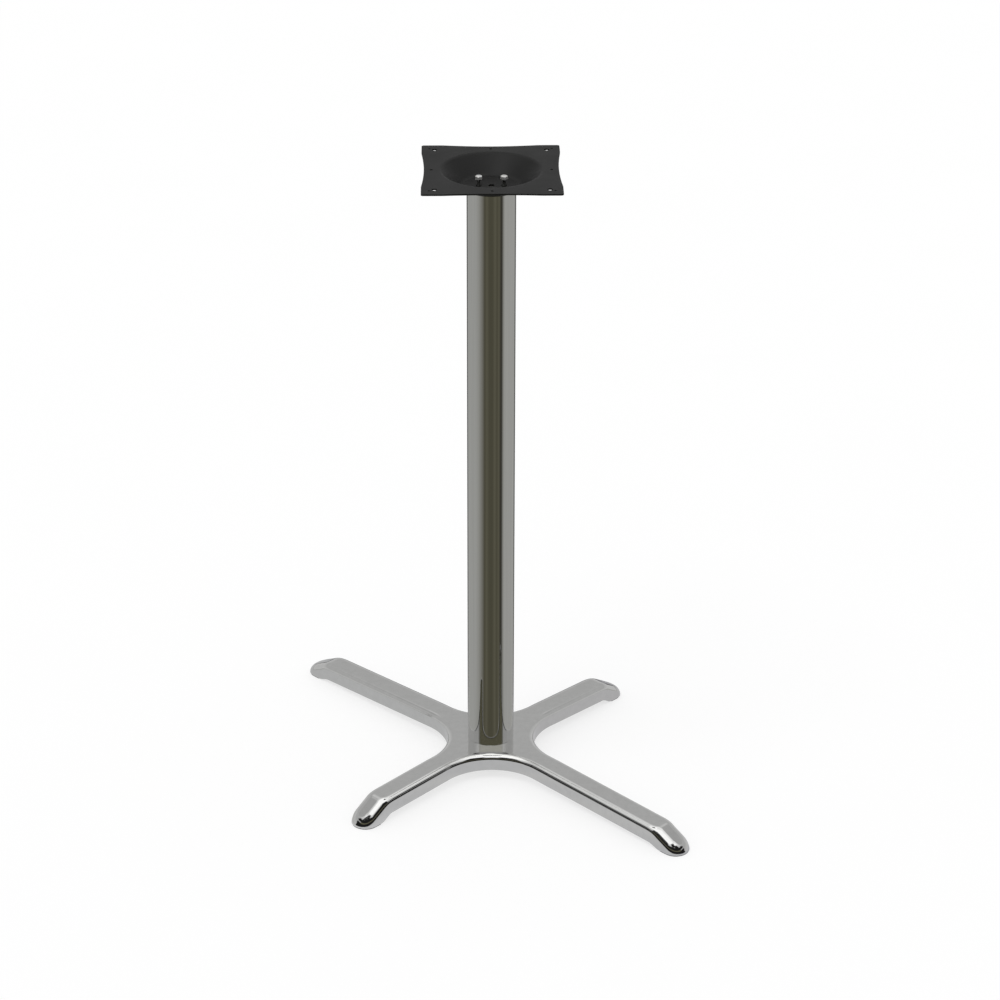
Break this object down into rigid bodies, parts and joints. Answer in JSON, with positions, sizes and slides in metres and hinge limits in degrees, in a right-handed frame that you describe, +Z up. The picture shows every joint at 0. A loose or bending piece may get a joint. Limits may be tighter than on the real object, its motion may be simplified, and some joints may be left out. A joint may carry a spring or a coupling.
{
  "type": "table base",
  "caption": "Bar-height table base: a black dished mounting plate on a chromed tube column, standing on a chromed stamped cross with long and short arms.",
  "frame": {"origin": "on the floor, on the column's axis", "axes": "+Z up along the column; the plate's sides run along X and Y, and the long arms run from -X +Y to +X -Y"},
  "size_m": [0.6258, 0.6258, 1.042],
  "materials": {
    "chromed_steel": "bright chrome plate",
    "black_coating": "semi-matt black powder coat",
    "zinc_plated_steel": "bright zinc plate",
    "glide_plastic": "moulded black plastic"
  },
  "bodies": {
    "root": {"base_shell": "chromed_steel", "hub_plate": "zinc_plated_steel", "column_tube": "chromed_steel", "bottom_plug": "zinc_plated_steel", "top_plug": "zinc_plated_steel", "top_plate": "black_coating", "plate_bolts": "zinc_plated_steel", "base_bolts": "zinc_plated_steel", "flat_washers": "zinc_plated_steel", "lock_washers": "zinc_plated_steel", "glide_front_right": "glide_plastic", "glide_back_right": "glide_plastic", "glide_back_left": "glide_plastic", "glide_front_left": "glide_plastic"}
  },
  "joints": []
}
